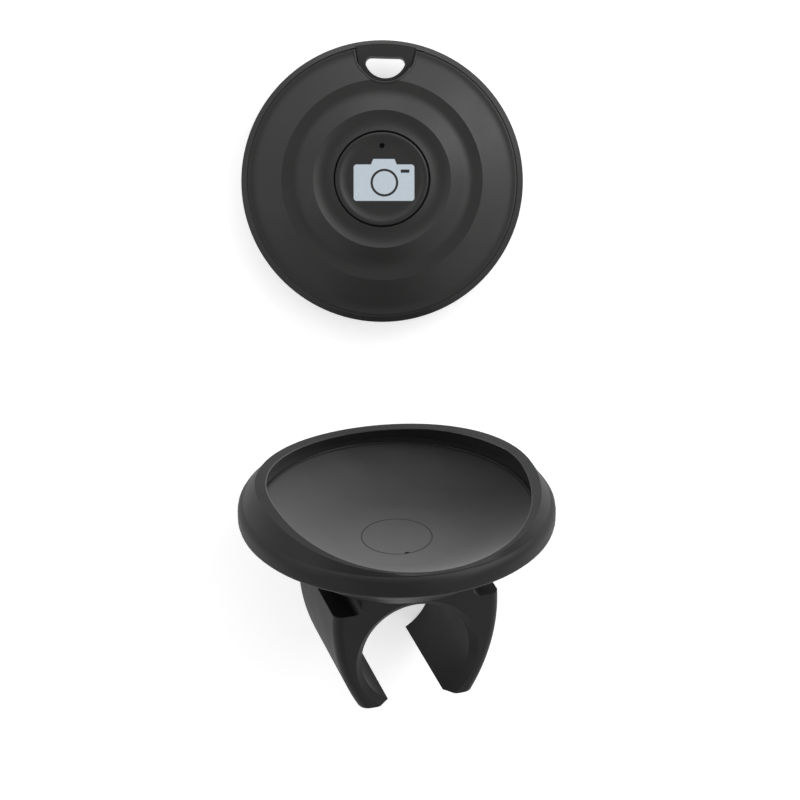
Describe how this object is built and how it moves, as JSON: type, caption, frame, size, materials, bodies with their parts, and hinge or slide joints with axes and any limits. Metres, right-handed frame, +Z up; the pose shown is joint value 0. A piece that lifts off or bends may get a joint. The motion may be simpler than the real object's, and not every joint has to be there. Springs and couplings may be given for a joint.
{
  "type": "bluetooth camera shutter remote",
  "caption": "Round coin-cell camera shutter remote with a dished push button and key-ring loop, beside its snap-in cup cradle with a C-shaped handlebar clip.",
  "frame": {"origin": "centre of the remote's flat back, which lies on the table", "axes": "+Z up through the push button, +Y from the button towards the key-ring loop, cradle lying on its side on the -Y side"},
  "size_m": [0.0437, 0.0932, 0.0409],
  "materials": {
    "case_black": "fine matt moulded ABS",
    "cradle_black": "satin moulded nylon",
    "button_black": "fine matt moulded ABS, icon printed in pale grey",
    "lens_dark": "smoked clear plastic",
    "board_green": "solder-masked glass-epoxy board",
    "chip_black": "moulded epoxy",
    "ceramic_tan": "fired ceramic chip parts",
    "led_white": "clear-coated chip LED",
    "sheet_steel": "stainless sheet",
    "spring_brass": "gold-flashed spring strip",
    "zinc_steel": "zinc-plated screws",
    "silicone": "translucent silicone",
    "seal_rubber": "black nitrile cord",
    "holder_black": "glass-filled nylon",
    "plunger_white": "acetal"
  },
  "bodies": {
    "remote": {"bottom_housing": "case_black", "top_housing": "case_black", "pcb": "board_green", "tact_switch_base": "chip_black", "tact_switch_frame": "sheet_steel", "snap_dome": "sheet_steel", "bluetooth_chip": "chip_black", "crystal": "sheet_steel", "chip_antenna": "ceramic_tan", "chip_components": "ceramic_tan", "status_led": "led_white", "battery_holder": "holder_black", "positive_contact": "spring_brass", "negative_contact": "spring_brass", "coin_cell_can": "sheet_steel", "coin_cell_seal": "holder_black", "coin_cell_cap": "sheet_steel", "pcb_screws": "zinc_steel", "return_pad": "silicone"},
    "button": {"button_cap": "button_black", "led_lens": "lens_dark"},
    "plunger": {"switch_plunger": "plunger_white"},
    "door": {"battery_door": "case_black", "door_gasket": "seal_rubber"},
    "cradle": {"cradle_cup": "cradle_black", "bar_clip": "cradle_black", "cup_plug": "cradle_black"}
  },
  "joints": [
    {"name": "button_press", "type": "slide", "parent": "remote", "child": "button", "axis": [0, 0, -1], "range_m": [0, 0.0003], "stiffness_N_per_m": 1500, "springref_m": -0.0007, "deforming": ["return_pad"]},
    {"name": "plunger_travel", "type": "slide", "parent": "remote", "child": "plunger", "axis": [0, 0, -1], "range_m": [0, 0.0003], "deforming": ["snap_dome"]},
    {"name": "door_turn", "type": "hinge", "parent": "remote", "child": "door", "pos_m": [0, 0, 0], "axis": [0, 0, 1], "range_deg": [0, 30]},
    {"name": "cradle_lift", "type": "slide", "parent": "remote", "child": "cradle", "axis": [0, 0, 1], "range_m": [0, 0.06]}
  ],
  "couplings": [
    {"joint": "plunger_travel", "follows": "button_press", "ratio": 1}
  ]
}
